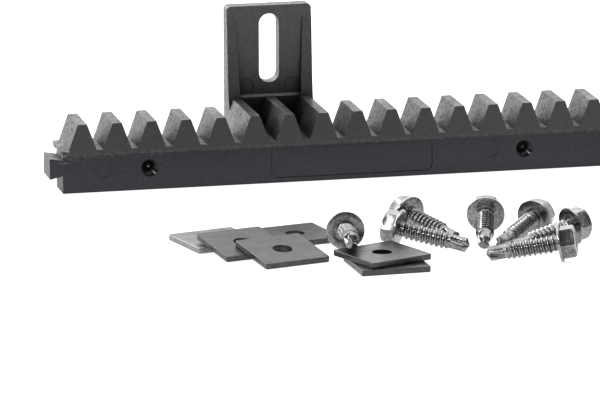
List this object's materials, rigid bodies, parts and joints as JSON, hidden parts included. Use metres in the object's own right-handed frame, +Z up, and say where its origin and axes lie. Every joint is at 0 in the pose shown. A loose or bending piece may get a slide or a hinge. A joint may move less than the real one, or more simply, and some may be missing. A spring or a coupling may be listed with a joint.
{
  "type": "toothed gear rack for a sliding gate",
  "caption": "Straight black nylon gear rack with a steel core, slotted upright brackets and loose square plates and self-drilling screws, for a sliding gate motor's pinion.",
  "frame": {"origin": "centre of the rail's underside, halfway along the rail's body and halfway through its 13 mm depth", "axes": "+X along the rack from the tongue end to the socket end, +Y towards the gate that the brackets are screwed to, +Z up, the way the teeth point"},
  "size_m": [1.01, 0.1871, 0.0583],
  "materials": {
    "black_nylon": "fine-grained moulded glass-filled nylon",
    "bracket_nylon": "fine-grained moulded glass-filled nylon",
    "core_steel": "drawn flat bar",
    "zinc_plate": "zinc-plated, punched",
    "zinc_screw": "bright zinc-plated"
  },
  "bodies": {
    "rack": {"rack_rail": "black_nylon", "steel_core": "core_steel", "bracket_1": "bracket_nylon", "bracket_2": "bracket_nylon", "bracket_3": "bracket_nylon", "bracket_4": "bracket_nylon", "bracket_5": "bracket_nylon", "bracket_6": "bracket_nylon"},
    "loose_clamp_plate_1": {"clamp_plate_1": "zinc_plate"},
    "loose_clamp_plate_2": {"clamp_plate_2": "zinc_plate"},
    "loose_clamp_plate_3": {"clamp_plate_3": "zinc_plate"},
    "loose_clamp_plate_4": {"clamp_plate_4": "zinc_plate"},
    "loose_clamp_plate_5": {"clamp_plate_5": "zinc_plate"},
    "loose_clamp_plate_6": {"clamp_plate_6": "zinc_plate"},
    "loose_screw_1": {"screw_1": "zinc_screw"},
    "loose_screw_2": {"screw_2": "zinc_screw"},
    "loose_screw_3": {"screw_3": "zinc_screw"},
    "loose_screw_4": {"screw_4": "zinc_screw"},
    "loose_screw_5": {"screw_5": "zinc_screw"},
    "loose_screw_6": {"screw_6": "zinc_screw"},
    "loose_screw_7": {"screw_7": "zinc_screw"}
  },
  "joints": [
    {"name": "lift_clamp_plate_1", "type": "slide", "parent": "rack", "child": "loose_clamp_plate_1", "axis": [0, 0, 1], "range_m": [0, 0.05]},
    {"name": "lift_clamp_plate_2", "type": "slide", "parent": "loose_clamp_plate_1", "child": "loose_clamp_plate_2", "axis": [0, 0, 1], "range_m": [0, 0.05]},
    {"name": "lift_clamp_plate_3", "type": "slide", "parent": "loose_clamp_plate_2", "child": "loose_clamp_plate_3", "axis": [0, 0, 1], "range_m": [0, 0.05]},
    {"name": "lift_clamp_plate_4", "type": "slide", "parent": "rack", "child": "loose_clamp_plate_4", "axis": [0, 0, 1], "range_m": [0, 0.05]},
    {"name": "lift_clamp_plate_5", "type": "slide", "parent": "rack", "child": "loose_clamp_plate_5", "axis": [0, 0, 1], "range_m": [0, 0.05]},
    {"name": "lift_clamp_plate_6", "type": "slide", "parent": "loose_clamp_plate_5", "child": "loose_clamp_plate_6", "axis": [0, 0, 1], "range_m": [0, 0.05]},
    {"name": "lift_screw_1", "type": "slide", "parent": "loose_clamp_plate_6", "child": "loose_screw_1", "axis": [0, 0, 1], "range_m": [0, 0.05]},
    {"name": "lift_screw_2", "type": "slide", "parent": "rack", "child": "loose_screw_2", "axis": [0, 0, 1], "range_m": [0, 0.05]},
    {"name": "lift_screw_3", "type": "slide", "parent": "rack", "child": "loose_screw_3", "axis": [0, 0, 1], "range_m": [0, 0.05]},
    {"name": "lift_screw_4", "type": "slide", "parent": "rack", "child": "loose_screw_4", "axis": [0, 0, 1], "range_m": [0, 0.05]},
    {"name": "lift_screw_5", "type": "slide", "parent": "rack", "child": "loose_screw_5", "axis": [0, 0, 1], "range_m": [0, 0.05]},
    {"name": "lift_screw_6", "type": "slide", "parent": "rack", "child": "loose_screw_6", "axis": [0, 0, 1], "range_m": [0, 0.05]},
    {"name": "lift_screw_7", "type": "slide", "parent": "rack", "child": "loose_screw_7", "axis": [0, 0, 1], "range_m": [0, 0.05]}
  ]
}
